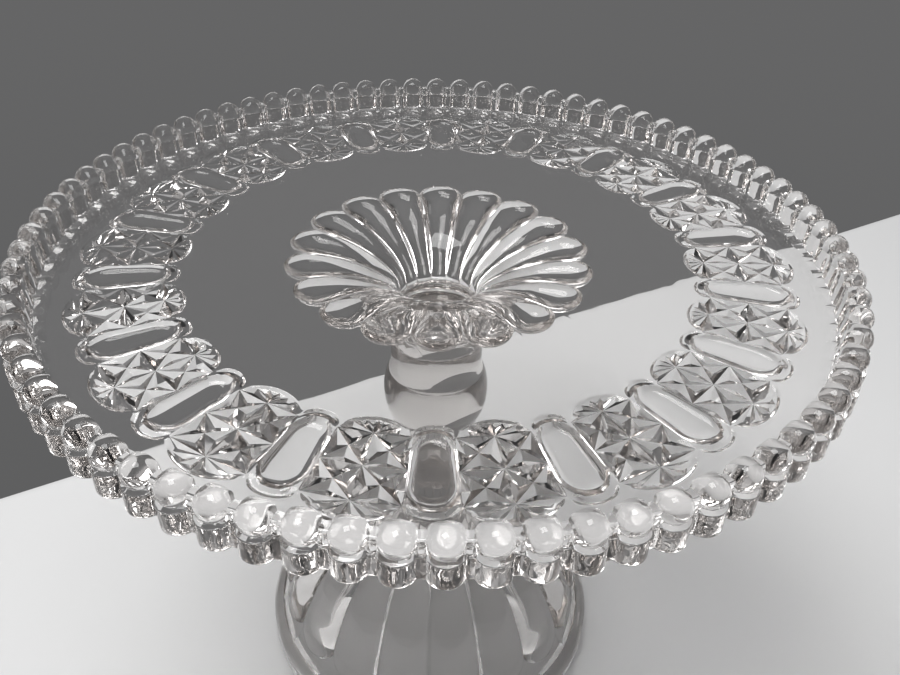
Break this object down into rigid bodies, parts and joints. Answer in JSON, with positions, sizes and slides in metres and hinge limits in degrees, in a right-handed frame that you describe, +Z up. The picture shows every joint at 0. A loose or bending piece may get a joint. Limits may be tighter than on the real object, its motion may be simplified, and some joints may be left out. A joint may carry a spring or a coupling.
{
  "type": "cake stand",
  "caption": "Footed pressed glass cake stand: round plate with a beaded gallery, a moulded medallion band and a central well, on a knopped stem and a hollow fluted bell foot.",
  "frame": {"origin": "middle of the ring that the foot rests on", "axes": "+Z up along the stem, -Y towards the viewer, where a lozenge of the moulded band is centred"},
  "size_m": [0.236, 0.236, 0.1698],
  "materials": {
    "glass": "fire-polished clear pressed glass with a faint warm tint where it is thick"
  },
  "bodies": {
    "root": {"cake_plate": "glass", "joining_wafer": "glass", "pedestal": "glass"}
  },
  "joints": []
}
